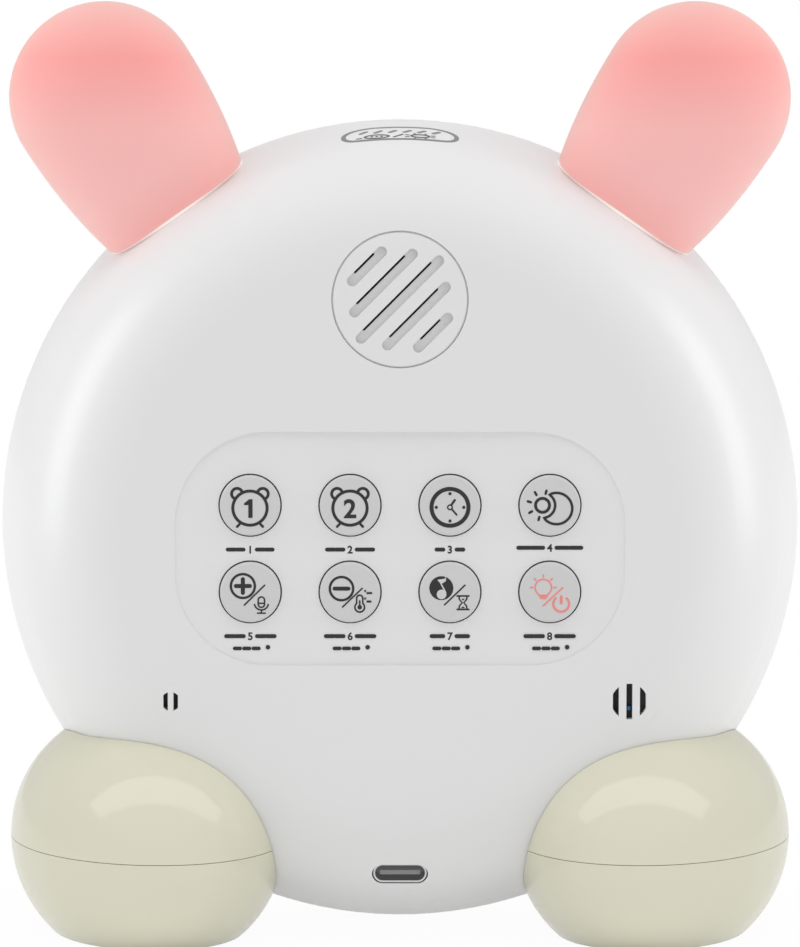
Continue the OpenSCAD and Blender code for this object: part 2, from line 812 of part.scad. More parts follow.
module speaker_retainer() color("gray") {
    difference() {
        union() {
            slab(retainer_y, retainer_y + retainer_t) translate([0, speaker_z])
                circle(r = driver_r + tube_wall);
            bars(speaker_posts, post_r, retainer_y, retainer_y + retainer_t);
            slab(tube_end - fit_gap, driver_y - driver_flange - fit_gap)
                translate([0, speaker_z]) circle(r = driver_r - 0.2);
        }
        bar([0, speaker_z], 12.6, tube_end - 5, seat_y);
        bars(speaker_posts, screw_r + screw_gap, tube_end - 5, tube_end + 1);
    }
}

module speaker_screws() color("silver")
    screws_y(speaker_posts, retainer_y, speaker_screw);

module speaker_leads() color("crimson") {
    for (s = sides) lead([s * 5, magnet_y - 3, cz + speaker_z - magnet_r - lead_r - fit_gap],
        [s * 5, main_y + lead_r + fit_gap, cz + main_top - 1]);
}

// ---------- boards, socket and battery ----------

module main_board() color("darkgreen") {
    difference() {
        slab(main_front, main_y) {
            translate([-main_half_w, main_low]) square([2 * main_half_w, main_top - main_low]);
            translate([-main_tail_w, main_tail])
                square([2 * main_tail_w, main_low - main_tail + 1]);
        }
        bars(main_posts, screw_r + screw_gap, main_front - 1, main_y + 1);
    }
}

// Each chip is its place from the middle of the board's top edge, its sides and its height
module main_chips() color("black") {
    for (c = [[-11, -11, 9, 9, 1.4], [11, -11, 6, 5, 1.2], [11, -20, 5, 5, 1.5], [-3, -22, 4, 4, 2]])
        slab(main_y + fit_gap, main_y + c[4]) translate([c[0], main_top + c[1]])
            square([c[2], c[3]], center = true);
}

module main_board_screws() color("silver") 
    screws_y(main_posts, main_front, main_screw);

module usb_shell() color("silver") {
    slab(usb_y - usb_len, usb_y) translate([0, usb_z]) difference() {
        stadium(usb_w, usb_h);
        stadium(usb_w - 2 * usb_t, usb_h - 2 * usb_t);
    }
}

module usb_tongue() color("black") {
    inside = usb_t + fit_gap;
    slab(main_y + fit_gap, usb_y - usb_len - fit_gap) translate([0, usb_z])
        stadium(usb_w, usb_h);
    slab(usb_y - usb_len - 1, usb_y - usb_len + 1.6) translate([0, usb_z])
        stadium(usb_w - 2 * inside, usb_h - 2 * inside);
    slab(usb_y - usb_len, usb_y - 0.7) translate([0, usb_z]) square([6.7, 0.7], center = true);
}

module battery_pad() color("gray")
    slab(main_front - 0.8, main_front - fit_gap) translate([0, cell_z])
        square([cell_w - 6, cell_h - 5], center = true);

module battery_cell() color("lightsteelblue")
    slab(main_front - 0.8 - fit_gap - cell_t, main_front - 0.8 - fit_gap)
        translate([0, cell_z]) rounded(cell_w, cell_h, 2.5);

// Flat cable from the display board, through the tray, to the main board
module ribbon_cable() color("gainsboro") {
    start = [display_y + board_t + fit_gap, ribbon_z];
    bend = [tray_y + 6, ribbon_z];
    turn = [main_front - ribbon_t - fit_gap, main_top + 1];
    tail = [turn[0], main_top - 3];
    over = [0, ribbon_t];
    translate([-ribbon_w / 2, 0, cz]) rotate([90, 0, 90]) linear_extrude(height = ribbon_w)
        polygon([start, bend, turn, tail, tail + [ribbon_t, 0], turn + [ribbon_t, 0.2],
            bend + over + [0.2, 0], start + over]);
}

// ---------- sensors ----------

module microphone() color("black")
    bar([vent_x, vent_z], capsule_r, sensor_low + 0.4, sensor_y - fit_gap);

module microphone_boot() color("black") {
    slab(sensor_low + 0.2, sensor_y - fit_gap) translate([vent_x, vent_z])
        ring(boot_r, capsule_r + fit_gap);
}

module bead_holder() color("black") {
    difference() {
        bar([-vent_x, vent_z], holder_r, sensor_low + 0.2, sensor_y - fit_gap);
        bar([-vent_x, vent_z - bead_drop], 0.3 + fit_gap, sensor_low, sensor_y + 1);
    }
}

module temperature_bead() color("steelblue") {
    place = [-vent_x, vent_z - bead_drop];
    bar(place, 0.3, sensor_low + 0.2, sensor_y + 0.6);
    translate([place[0], sensor_y + 0.7, cz + place[1]]) sphere(r = bead_r);
}

module touch_electrode() color("peru") {
    intersection() {
        spin() difference() {
            casing_outline(wall + fit_gap);
            casing_outline(wall + fit_gap + 0.2);
        }
        translate([0, 0, cz + body_r]) cube([21, 9, 12], center = true);
    }
}

// ---------- ears ----------

module in_ear(s) {
    translate([s * ear_base_r * sin(ear_dir), ear_y, cz + ear_base_r * cos(ear_dir)])
        rotate([0, s * ear_tilt, 0]) children();
}

// The ear is the upper half of a flattened ball on the lower half of a taller one
module ear_part(inset, rise) {
    translate([0, 0, ear_h - ear_w])
        scale([ear_w - inset, ear_w * ear_flat - inset, rise - inset]) sphere(1);
}

module ear_above() translate([-far / 2, -far / 2, ear_h - ear_w]) cube(far);

module ear_below() translate([-far / 2, -far / 2, ear_h - ear_w - far]) cube(far);

module ear_cover(s) color("pink") {
    difference() {
        in_ear(s) {
            difference() {
                ear_part(0, ear_w);
                ear_part(ear_wall, ear_w);
                ear_below();
            }
            difference() {
                ear_part(0, ear_low);
                ear_part(ear_wall, ear_low);
                ear_above();
            }
        }
        crown_ball(ear_seat_t + fit_gap);
    }
}

module ear_seat(s) color("mistyrose") {
    difference() {
        union() {
            difference() {
                union() {
                    intersection() {
                        casing_solid(-ear_seat_t);
                        in_ear(s) ear_part(0, ear_low);
                    }
                    in_ear(s) for (i = sides) translate([i * ear_screw_x, 0, 0])
                        cylinder(r = post_r, h = ear_board_z - fit_gap);
                }
                casing_solid(-fit_gap);
            }
            in_ear(s) translate([0, 0, -neck_in])
                cylinder(r = neck_r, h = neck_in + ear_board_z - fit_gap);
        }
        in_ear(s) translate([0, 0, -neck_in - 1])
            cylinder(r = neck_r - neck_wall, h = neck_in + 2 * ear_board_z);
        in_ear(s) for (i = sides) translate([i * ear_screw_x, 0, -2])
            cylinder(r = screw_r, h = ear_board_z + 1);
    }
}

module ear_cover_left() ear_cover(1);
module ear_cover_right() ear_cover(-1);
module ear_seat_left() ear_seat(1);
module ear_seat_right() ear_seat(-1);

module ear_boards() color("darkgreen") {
    for (s = sides) in_ear(s) translate([0, 0, ear_board_z + ear_board_t / 2])
        cube([ear_board_w, ear_board_d, ear_board_t], center = true);
}

module ear_leds() color("khaki") {
    for (s = sides, i = [-1:1]) in_ear(s)
        translate([i * ear_led_step, 0, ear_board_z + ear_board_t + fit_gap + led[2] / 2])
            cube(led, center = true);
}

module ear_screws() color("silver") {
    for (s = sides, i = sides) in_ear(s) 
        translate([i * ear_screw_x, 0, ear_screw_z]) screw(ear_screw);
}

// ---------- feet ----------

module in_foot(s) translate([s * foot_x, 0, 0]) rotate([0, 0, s * foot_turn]) children();

// Places the two pads of a foot, with the sole screws over them
module at_pads(s) {
    in_foot(s) for (j = sides) translate([s * pad_x, j * pad_y, 0]) children();
}

// Places the screws that hold a foot, along a radius of the casing
module at_foot_screws(s) {
    for (y = foot_screw_y) translate([0, y, cz]) rotate([0, s * foot_screw_a, 0])
        translate([0, 0, casing_r(y)]) children();
}

module foot_solid(inset)
    translate([0, 0, foot_z])
        scale([foot_w - inset, foot_len - inset, foot_h - inset]) sphere(1);

module foot_upper(s) color("antiquewhite") {
    difference() {
        in_foot(s) foot_solid(0);
        difference() {
            in_foot(s) foot_solid(foot_wall);
            crown_ball(foot_gap + foot_wall);
            at_foot_screws(s) cylinder(r = post_r, h = foot_post_h);
            at_pads(s) {
                cylinder(r = post_r, h = far);
                translate([s * foot_w / 2, 0, foot_z])
                    cube([foot_w, foot_rib_t, foot_h], center = true);
            }
        }
        casing_room(foot_gap);
        translate([-far / 2, -far / 2, foot_z + foot_seam / 2 - far]) cube(far);
        at_foot_screws(s) translate([0, 0, -1])
            cylinder(r = screw_r, h = foot_screw - foot_screw_in + tip_gap + 1);
        at_pads(s) cylinder(r = screw_r, h = foot_tip_z + 0.2);
    }
}

module foot_lower(s) color("antiquewhite") {
    difference() {
        in_foot(s) foot_solid(0);
        difference() {
            in_foot(s) foot_solid(foot_wall);
            crown_ball(foot_gap + foot_wall);
            at_pads(s) cylinder(r = screw_head_r + screw_gap + 1.4, h = foot_z);
            translate([-far / 2, -far / 2, sole_z + foot_wall - far]) cube(far);
        }
        casing_room(foot_gap);
        translate([-far / 2, -far / 2, foot_z - foot_seam / 2]) cube(far);
        translate([-far / 2, -far / 2, sole_z - far]) cube(far);
        at_pads(s) {
            cylinder(r = pad_r + fit_gap, h = pad_t + fit_gap);
            cylinder(r = screw_head_r + screw_gap, h = foot_head_z);
            cylinder(r = screw_r + screw_gap, h = foot_z);
        }
    }
}

module foot_upper_left() foot_upper(1);
module foot_upper_right() foot_upper(-1);
module foot_lower_left() foot_lower(1);
module foot_lower_right() foot_lower(-1);

module foot_pads() color("dimgray") {
    for (s = sides) at_pads(s) cylinder(r = pad_r, h = pad_t);
}

module foot_screws() color("silver") {
    for (s = sides) {
        at_pads(s) translate([0, 0, foot_head_z]) screw(foot_tip_z - foot_head_z);
        at_foot_screws(s) translate([0, 0, -foot_screw_in]) screw(foot_screw);
    }
}

rear_shell();
front_shell();
front_lens();
display_window();
case_screws();
alarm_one_button();
alarm_two_button();
time_button();
sun_moon_button();
volume_up_button();
volume_down_button();
sound_button();
power_button();
button_board();
switch_housings();
switch_domes();
button_board_screws();
speaker_grille();
grille_felt();
speaker_gasket();
speaker_frame();
speaker_cone();
speaker_magnet();
speaker_retainer();
speaker_screws();
main_board();
main_chips();
main_board_screws();
usb_shell();
usb_tongue();
battery_cell();
battery_pad();
microphone();
microphone_boot();
temperature_bead();
bead_holder();
touch_electrode();
light_tray();
tray_screws();
light_board();
night_leds();
display_board();
digit_mask();
digit_segments();
ribbon_cable();
speaker_leads();
ear_cover_left();
ear_cover_right();
ear_seat_left();
ear_seat_right();
ear_boards();
ear_leds();
ear_screws();
foot_upper_left();
foot_upper_right();
foot_lower_left();
foot_lower_right();
foot_pads();
foot_screws();
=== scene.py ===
# %% [markdown]
# # A round bedside clock with two glowing ears
#
# The clock is a white plastic drum with a domed rear face. Two soft pink ears stand on
# its crown and it rests on two cream feet. The construction model already holds every
# piece at its true size, so this scene dresses it: it lights the clock, gives each
# finish a material, moulds the soft ears anew and prints the marks on the buttons.
# The frame is loaded first, because every later size is read from it or set beside it.

import json
import math

import bmesh
import bpy
from mathutils import Matrix, Vector


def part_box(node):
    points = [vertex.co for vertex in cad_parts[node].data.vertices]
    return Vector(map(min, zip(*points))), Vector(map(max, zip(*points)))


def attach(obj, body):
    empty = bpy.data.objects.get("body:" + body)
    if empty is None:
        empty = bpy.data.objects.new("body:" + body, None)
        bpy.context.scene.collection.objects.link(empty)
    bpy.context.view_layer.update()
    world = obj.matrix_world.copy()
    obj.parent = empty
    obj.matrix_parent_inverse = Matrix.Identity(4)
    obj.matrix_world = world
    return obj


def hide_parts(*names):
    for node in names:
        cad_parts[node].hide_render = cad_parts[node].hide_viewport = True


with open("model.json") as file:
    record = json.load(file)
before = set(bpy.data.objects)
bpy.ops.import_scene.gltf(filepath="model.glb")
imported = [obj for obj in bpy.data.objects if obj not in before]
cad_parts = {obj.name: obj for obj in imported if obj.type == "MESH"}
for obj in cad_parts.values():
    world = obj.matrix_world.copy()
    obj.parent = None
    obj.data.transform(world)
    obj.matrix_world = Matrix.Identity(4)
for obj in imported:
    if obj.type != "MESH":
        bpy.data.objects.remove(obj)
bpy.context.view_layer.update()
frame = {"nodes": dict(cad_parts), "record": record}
nodes = frame["nodes"]
MM = 0.001

# %% [markdown]
# The casing is turned around an axis that runs from front to rear. Its radius and centre
# come from the front shell, which is as wide as the casing. The crown is part of a ball
# of that radius, whose centre lies on the axis at the joint between the two shells.

# %% Sizes of the casing
front_low, front_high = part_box("front_shell")

CENTRE_Z = (front_low.z + front_high.z) / 2
BODY_R = (front_high.z - front_low.z) / 2
PART_Y = front_high.y  # the joint between the shells
CAP_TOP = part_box("alarm_one_button")[1].y
print("casing radius", round(BODY_R / MM, 2), "mm, centre height", round(CENTRE_Z / MM, 2), "mm")

# %% [markdown]
# ## Camera and room
#
# A long lens from a metre away keeps the round face round and shows a little of the
# crown. The camera looks at the rear of the clock, where its buttons are, from slightly
# above. The room is white: the sky and the floor turn white where the camera sees them
# directly, and the floor still keeps part of the clock's shadow.

# %% Camera
CAMERA_PLACE = Vector((0, 1.0, 0.1696))
CAMERA_AIM = Vector((0, 0, 0.0777))
LENS = 226.4

camera_data = bpy.data.cameras.new("camera")
camera_data.lens = LENS
camera_data.sensor_width = 36
camera_data.clip_end = 50
camera = bpy.data.objects.new("camera", camera_data)
bpy.context.scene.collection.objects.link(camera)
camera.location = CAMERA_PLACE
camera.rotation_euler = (CAMERA_AIM - CAMERA_PLACE).to_track_quat("-Z", "Y").to_euler()
bpy.context.scene.camera = camera
print("camera distance", round((CAMERA_PLACE - CAMERA_AIM).length, 3), "m")

# %% [markdown]
# ## Writing materials as sums
#
# A node tree is easier to read as an expression. `Maths` wraps one socket, so that
# `a * 2 + b` adds the Math nodes by itself, and its `node` method makes any other node.

# %% A socket that can be calculated with
class Maths:
    """A socket of a node tree, or the tree alone, for making nodes."""

    def __init__(self, tree, socket=None):
        self.tree = tree
        self.socket = socket

    def node(self, kind, settings=None, **links):
        """A new node. Inputs go by their names, or as i0, i1 and so on by their numbers."""
        made = self.tree.nodes.new(kind)
        for name, value in (settings or {}).items():
            if name == "stops":
                ramp = made.color_ramp
                for i, (place, colour) in enumerate(value):
                    stop = ramp.elements[i] if i < 2 else ramp.elements.new(place)
                    stop.position = place
                    stop.color = (*colour, 1)
            else:
                setattr(made, name, value)
        for name, value in links.items():
            number = name[1:] if name[0] == "i" and name[1:].isdigit() else None
            socket = made.inputs[int(number) if number else name.replace("_", " ")]
            if isinstance(value, Maths):
                self.tree.links.new(value.socket, socket)
            else:
                socket.default_value = value
        return made

    def out(self, made, name=0):
        """An output of a node, to calculate with."""
        return Maths(self.tree, made.outputs[name])

    def calc(self, operation, first, second=None):
        """One Math node."""
        values = {"i0": first} if second is None else {"i0": first, "i1": second}
        return self.out(self.node("ShaderNodeMath", {"operation": operation}, **values))

    def __add__(self, other):
        return self.calc("ADD", self, other)

    __radd__ = __add__

    def __mul__(self, other):
        return self.calc("MULTIPLY", self, other)

    __rmul__ = __mul__

    def __sub__(self, other):
        return self.calc("SUBTRACT", self, other)

    def __rsub__(self, other):
        return self.calc("SUBTRACT", other, self)

    def __truediv__(self, other):
        return self.calc("DIVIDE", self, other)

    def __rtruediv__(self, other):
        return self.calc("DIVIDE", other, self)

    def __pow__(self, other):
        return self.calc("POWER", self, other)

    def clamped(self):
        """The value, kept between 0 and 1."""
        settings = {"operation": "ADD", "use_clamp": True}
        return self.out(self.node("ShaderNodeMath", settings, i0=self, i1=0.0))


def start_material(name):
    """A material with its shader, and a handle on its tree."""
    material = bpy.data.materials.new(name)
    material.use_nodes = True
    tree = material.node_tree
    shader = tree.nodes["Principled BSDF"]
    return material, shader, Maths(tree)


COAT_ROUGHNESS = 0.02


def plain(name, colour, roughness, metallic=0.0, coat=0.0, glow=0.0, gloss=0.5):
    """A finish that is the same all over."""
    material, shader, _ = start_material(name)
    shader.inputs["Base Color"].default_value = (*colour, 1)
    shader.inputs["Roughness"].default_value = roughness
    shader.inputs["Metallic"].default_value = metallic
    shader.inputs["Coat Weight"].default_value = coat
    shader.inputs["Coat Roughness"].default_value = COAT_ROUGHNESS
    shader.inputs["Specular IOR Level"].default_value = gloss
    # a glow is painted light: an emission on a part that has no lamp in it
    if glow:
        shader.inputs["Emission Color"].default_value = (*colour, 1)
        shader.inputs["Emission Strength"].default_value = glow
    return material


print("material tools ready")

# %% [markdown]
# The floor is seen as plain white. A small share of its real shading is mixed in near the
# clock, so a faint shadow stays under the feet, and it fades out before the horizon.

# %% Floor and sky
FLOOR_SIZE = 8.0
FLOOR_GREY = 0.93
FLOOR_SHADE = 0.04  # the share of the real shading near the clock
SHADE_END, SHADE_FADE = 0.16, 0.10  # where it ends, and over how far it fades
SKY_FILL = 0.68  # the sky's strength as a light; the camera sees it at 1


def seen_directly(maths):
    """Two values: 1 for rays from the camera, gloss or glass, and 1 for the camera's."""
    rays = maths.node("ShaderNodeLightPath")
    camera_ray = maths.out(rays, "Is Camera Ray")
    glossy_ray = maths.out(rays, "Is Glossy Ray")
    clear_ray = maths.out(rays, "Is Transmission Ray")
    return (camera_ray + glossy_ray + clear_ray).clamped(), camera_ray


def room_floor():
    """A stage piece that shows white, with a share of its real shading near the clock."""
    material = bpy.data.materials.new("floor_white")
    material.use_nodes = True
    tree = material.node_tree
    tree.nodes.clear()
    maths = Maths(tree)
    seen, _ = seen_directly(maths)
    matt = maths.node("ShaderNodeBsdfDiffuse", Color=(FLOOR_GREY, FLOOR_GREY, FLOOR_GREY, 1))
    white = maths.node("ShaderNodeEmission", Color=(1, 1, 1, 1), Strength=1.0)
    place = maths.out(maths.node("ShaderNodeTexCoord"), "Object")
    length = maths.node("ShaderNodeVectorMath", {"operation": "LENGTH"}, i0=place)
    away = maths.out(length, "Value")
    near = ((SHADE_END - away) / SHADE_FADE).clamped()
    mix = maths.node("ShaderNodeMixShader", Fac=seen * (1 - near * FLOOR_SHADE),
                     i1=maths.out(matt), i2=maths.out(white))
    maths.node("ShaderNodeOutputMaterial", Surface=maths.out(mix))
    mesh = bpy.data.meshes.new("floor")
    half = FLOOR_SIZE / 2
    mesh.from_pydata([(-half, -half, 0), (half, -half, 0), (half, half, 0), (-half, half, 0)],
                     [], [(0, 1, 2, 3)])
    floor = bpy.data.objects.new("floor", mesh)
    bpy.context.scene.collection.objects.link(floor)
    mesh.materials.append(material)
    return floor


floor_sheet = room_floor()

sky = bpy.data.worlds.new("sky")
bpy.context.scene.world = sky
sky.use_nodes = True
sky_maths = Maths(sky.node_tree)
_, sky_camera = seen_directly(sky_maths)
background = sky.node_tree.nodes["Background"]
background.inputs["Color"].default_value = (1, 1, 1, 1)
sky.node_tree.links.new((SKY_FILL + sky_camera * (1 - SKY_FILL)).socket,
                        background.inputs["Strength"])
bpy.context.scene.view_settings.view_transform = "Standard"
print("floor and sky ready")

# %% [markdown]
# Soft boxes stand to the left and right, one hangs overhead, one behind it, and a weak one
# lifts the underside through the floor, as a white table would. Gloss doesn't mirror
# these five. Three more are there only to be mirrored, as a bright band along each
# shoulder of the drum and a crescent on each foot. Light linking says which pieces a box
# lights and which ones throw shadows in its light.

# %% Lights
AIM = Vector((0, 0, 0.08))


def soft_box(name, kind, place, size, power, lit=None, past=None):
    """A soft box aimed at the clock; kind is "matt" or "mirrored", power is in watts."""
    data = bpy.data.lights.new(name, "AREA")
    data.shape = "RECTANGLE"
    data.size, data.size_y = size
    data.energy = power
    lamp = bpy.data.objects.new(name, data)
    bpy.context.scene.collection.objects.link(lamp)
    lamp.location = place
    lamp.rotation_euler = (AIM - Vector(place)).to_track_quat("-Z", "Y").to_euler()
    lamp.visible_diffuse = kind == "matt"
    lamp.visible_glossy = kind == "mirrored"
    if lit:
        lamp.light_linking.receiver_collection = lit
    if past:
        lamp.light_linking.blocker_collection = past


def group_of(name, objects, state="INCLUDE"):
    """A collection that a light is meant for, or that it leaves out."""
    group = bpy.data.collections.new(name)
    for item in objects:
        group.objects.link(item)
    for member in group.collection_objects:
        member.light_linking.link_state = state
    return group


shell_nodes = [nodes[name] for name in ("rear_shell", "front_shell", "speaker_grille")]
foot_nodes = [nodes[name] for name in nodes if name.startswith(("foot_upper", "foot_lower"))]
shells = group_of("shells", shell_nodes)
feet = group_of("feet", foot_nodes)
all_but_feet = group_of("all_but_feet", foot_nodes, "EXCLUDE")
all_but_floor = group_of("all_but_floor", [floor_sheet], "EXCLUDE")
for side, name in ((1, "left"), (-1, "right")):
    soft_box("side_light_" + name, "matt", (side * 0.80, 0.02, 0.20), (0.35, 0.9), 2.05,
             lit=all_but_feet)
    soft_box("band_light_" + name, "mirrored", (side * 0.84, 0.16, 0.14), (0.42, 1.1), 3.5,
             lit=shells)
soft_box("top_light", "matt", (0, 0.30, 1.0), (1.6, 0.5), 3.05)
soft_box("back_light", "matt", (0, -0.45, 1.0), (1.6, 0.5), 1.4, lit=shells)
soft_box("low_light", "matt", (0, 0.12, -0.6), (0.8, 0.3), 0.35, lit=shells,
         past=all_but_floor)
soft_box("crescent_light", "mirrored", (0, 0.24, 1.0), (3.2, 0.5), 10.0, lit=feet, past=feet)

# %% [markdown]
# ## Finishes
#
# Each finish is named after what it is on the clock. Most are the same all over, so a
# plain material serves. The moulded shells get a very fine grain, which is what keeps
# the white plastic from looking like glass. The smoked window is nearly flat, so its
# material takes one large ball's normal and mirrors the room without a flaw.

# %% Plastics, metals and rubber
GRAIN_SCALE = 2600
GRAIN_DEPTH = 0.04 * MM
GRAIN_STRENGTH = 0.15
GLOSS_SPREAD = 0.06
WINDOW_BALL_R = 0.6


def moulded(name, colour, roughness):
    """Plastic from a spark-eroded mould: a fine even grain and slightly uneven gloss."""
    material, shader, maths = start_material(name)
    place = maths.out(maths.node("ShaderNodeTexCoord"), "Object")
    noise = maths.node("ShaderNodeTexNoise", Vector=place, Scale=GRAIN_SCALE, Detail=2.0)
    level = maths.out(noise, "Fac")
    bump = maths.node("ShaderNodeBump", Height=level, Strength=GRAIN_STRENGTH,
                      Distance=GRAIN_DEPTH)
    shader.inputs["Base Color"].default_value = (*colour, 1)
    uneven = roughness + (level - 0.5) * GLOSS_SPREAD
    maths.tree.links.new(uneven.socket, shader.inputs["Roughness"])
    maths.tree.links.new(bump.outputs[0], shader.inputs["Normal"])
    return material


def smoked(name, colour, roughness):
    """A window so nearly flat that one large ball gives its normal everywhere."""
    material, shader, maths = start_material(name)
    place = maths.out(maths.node("ShaderNodeTexCoord"), "Object")
    parts = maths.node("ShaderNodeSeparateXYZ", Vector=place)
    outward = maths.node("ShaderNodeCombineXYZ", X=maths.out(parts, "X"), Y=-WINDOW_BALL_R,
                         Z=maths.out(parts, "Z") - CENTRE_Z)
    even = maths.node("ShaderNodeVectorMath", {"operation": "NORMALIZE"}, i0=maths.out(outward))
    maths.tree.links.new(even.outputs[0], shader.inputs["Normal"])
    shader.inputs["Base Color"].default_value = (*colour, 1)
    shader.inputs["Roughness"].default_value = roughness
    return material


finish = {
    "shell_plastic": moulded("shell_white", (0.80, 0.80, 0.805), 0.32),
    "button_plastic": moulded("button_grey", (0.65, 0.65, 0.655), 0.5),
    "foot_plastic": plain("foot_cream", (0.785, 0.768, 0.61), 0.45, coat=0.6, gloss=0.1),
    # the seat's glow is painted light: it keeps the thin seam pale in the shade under each ear
    "ear_seat_plastic": plain("ear_seat_painted_glow", (0.95, 0.86, 0.82), 0.5, glow=0.24),
    "pad_rubber": plain("pad_rubber", (0.08, 0.08, 0.08), 0.8),
    "window_plastic": smoked("window_smoked", (0.02, 0.02, 0.024), 0.2),
    "lens_plastic": plain("lens_milky", (0.86, 0.84, 0.79), 0.35),
    "screw_steel": plain("screw_steel", (0.62, 0.62, 0.62), 0.3, metallic=1.0),
    "circuit_board": plain("board_green", (0.03, 0.16, 0.07), 0.4),
    "white_plastic": plain("inner_white", (0.85, 0.85, 0.84), 0.5),
    "led_lens": plain("led_yellow", (0.85, 0.75, 0.4), 0.2),
    "cell_foil": plain("cell_foil", (0.6, 0.62, 0.66), 0.35, metallic=1.0),
    "bead_blue": plain("bead_blue", (0.07, 0.22, 0.55), 0.25, coat=0.5),
    "contact_metal": plain("contact_metal", (0.72, 0.52, 0.28), 0.3, metallic=1.0),
    "lead_insulation": plain("lead_red", (0.6, 0.1, 0.1), 0.5),
    "black_foam": plain("foam_black", (0.012, 0.012, 0.012), 0.95),
    "black_plastic": plain("inner_black", (0.03, 0.03, 0.03), 0.5),
}
print("finishes:", len(finish))

# %% [markdown]
# The ears are soft silicone with a lamp inside. Silicone lets light in under its skin,
# so the shader scatters light a little way below the surface, and a weak glow stands for
# the lamp. The pink is deepest in a band near the tip and again where the ear meets its
# seat. Where the skin turns away from the camera at the edges, a painted sheen mixes a
# greyer, paler pink into its colour.

# %% Ear silicone
PINK_FOOT, PINK_REACH = 115 * MM, 42 * MM  # where the ramp starts, and how tall it is
SEAT_BAND = 8 * MM
SEAT_PINK = 0.6
# the painted sheen at the edges: how the facing weight is blended, and the sheen colour's share
EDGE_SHEEN_BLEND, EDGE_SHEEN_SHARE = 0.32, 0.75
EAR_GLOW = 0.095
SEAT_COLOUR = (0.94, 0.40, 0.38, 1)
# the colour of the painted sheen at the edges
EDGE_SHEEN_COLOUR = (0.75, 0.52, 0.47, 1)


def silicone():
    """Soft pink skin with a lamp behind it."""
    material, shader, maths = start_material("ear_silicone")
    place = maths.out(maths.node("ShaderNodeTexCoord"), "Object")
    parts = maths.node("ShaderNodeSeparateXYZ", Vector=place)
    height = (maths.out(parts, "Z") - PINK_FOOT) / PINK_REACH
    ramp = maths.node("ShaderNodeValToRGB", {"stops": [
        (0.0, (0.95, 0.53, 0.51)), (0.5, (0.95, 0.49, 0.47)),
        (0.78, (0.93, 0.36, 0.345)), (1.0, (0.90, 0.46, 0.43))]}, Fac=height.clamped())
    from_seat = maths.node("ShaderNodeVectorMath", {"operation": "DISTANCE"}, i0=place,
                           i1=(0, PART_Y, CENTRE_Z))
    low_band = (1 - (maths.out(from_seat, "Value") - BODY_R) / SEAT_BAND).clamped()
    warmed = maths.node("ShaderNodeMix", {"data_type": "RGBA"}, i0=low_band * SEAT_PINK,
                        i6=maths.out(ramp, "Color"), i7=SEAT_COLOUR)
    # painted sheen: towards the edges, as seen from the camera, a greyer, paler pink is mixed
    # into the skin's colour
    edge_sheen = maths.out(maths.node("ShaderNodeLayerWeight", Blend=EDGE_SHEEN_BLEND), "Facing")
    skin = maths.node("ShaderNodeMix", {"data_type": "RGBA"}, i0=edge_sheen * EDGE_SHEEN_SHARE,
                      i6=maths.out(warmed, 2), i7=EDGE_SHEEN_COLOUR)
    maths.tree.links.new(skin.outputs[2], shader.inputs["Base Color"])
    maths.tree.links.new(skin.outputs[2], shader.inputs["Emission Color"])
    shader.inputs["Emission Strength"].default_value = EAR_GLOW
    shader.inputs["Roughness"].default_value = 0.55
    shader.inputs["Subsurface Weight"].default_value = 0.35
    shader.inputs["Subsurface Radius"].default_value = (1.0, 0.5, 0.45)
    shader.inputs["Subsurface Scale"].default_value = 3 * MM
    shader.inputs["Sheen Weight"].default_value = 0.03
    shader.inputs["Sheen Roughness"].default_value = 0.35
    return material


finish["ear_silicone"] = silicone()
# the tongue's glow is painted light: the tongue has no lamp, and the glow lightens it in the dark
# socket
tongue_painted_glow = plain("tongue_painted_glow", (0.22, 0.22, 0.22), 0.4, glow=0.25)
ink_dark = plain("ink_dark", (0.022, 0.021, 0.021), 0.6)
ink_soft = plain("ink_soft", (0.25, 0.25, 0.25), 0.5)
ink_zone = plain("ink_zone", (0.12, 0.12, 0.12), 0.5)
ink_coral = plain("ink_coral", (0.88, 0.27, 0.23), 0.5)
print("ear silicone and inks ready")

# %% [markdown]
# Every construction node says in the record which finish it has, so one loop dresses
# them all. Naming each piece here again would only invite mistakes. The tongue in the
# socket has its own grey plastic, with a painted glow that lightens it in the dark socket.

# %% Dress the construction nodes
own_finish = {"usb_tongue": tongue_painted_glow}
slot_of = {}
for part in frame["record"]["subparts"]:
    slot_of[part["node"]] = part["material_slot"]
for node_name, node_object in nodes.items():
    node_object.data.materials.clear()
    node_object.data.materials.append(own_finish.get(node_name, finish[slot_of[node_name]]))
print("dressed", len(slot_of), "nodes")

# %% [markdown]
# ## Shapes that follow a rule
#
# Geometry Nodes make what follows a rule, and their trees are written as a material's
# tree is. A tree's sizes are named inputs, which a modifier sets by their identifiers.
# The result is turned into a plain mesh, so nothing live is left on the piece.

# %% Helpers for trees of Geometry Nodes
def geometry_tree(name, inputs):
    """An empty tree with named inputs; each is (name, socket type, default)."""
    tree = bpy.data.node_groups.new(name, "GeometryNodeTree")
    sockets = tree.interface
    sockets.new_socket("Geometry", in_out="INPUT", socket_type="NodeSocketGeometry")
    sockets.new_socket("Geometry", in_out="OUTPUT", socket_type="NodeSocketGeometry")
    for label, kind, default in inputs:
        socket = sockets.new_socket(label, in_out="INPUT", socket_type=kind)
        if default is not None:
            socket.default_value = default
    maths = Maths(tree)
    start = maths.node("NodeGroupInput")
    return tree, maths, {s.name: Maths(tree, s) for s in start.outputs if s.name}


def close_tree(maths, shape, material):
    """Ends a tree with real geometry and its material."""
    real = maths.node("GeometryNodeRealizeInstances", Geometry=shape)
    dressed = maths.node("GeometryNodeSetMaterial", Geometry=maths.out(real), Material=material)
    maths.node("NodeGroupOutput", Geometry=maths.out(dressed))


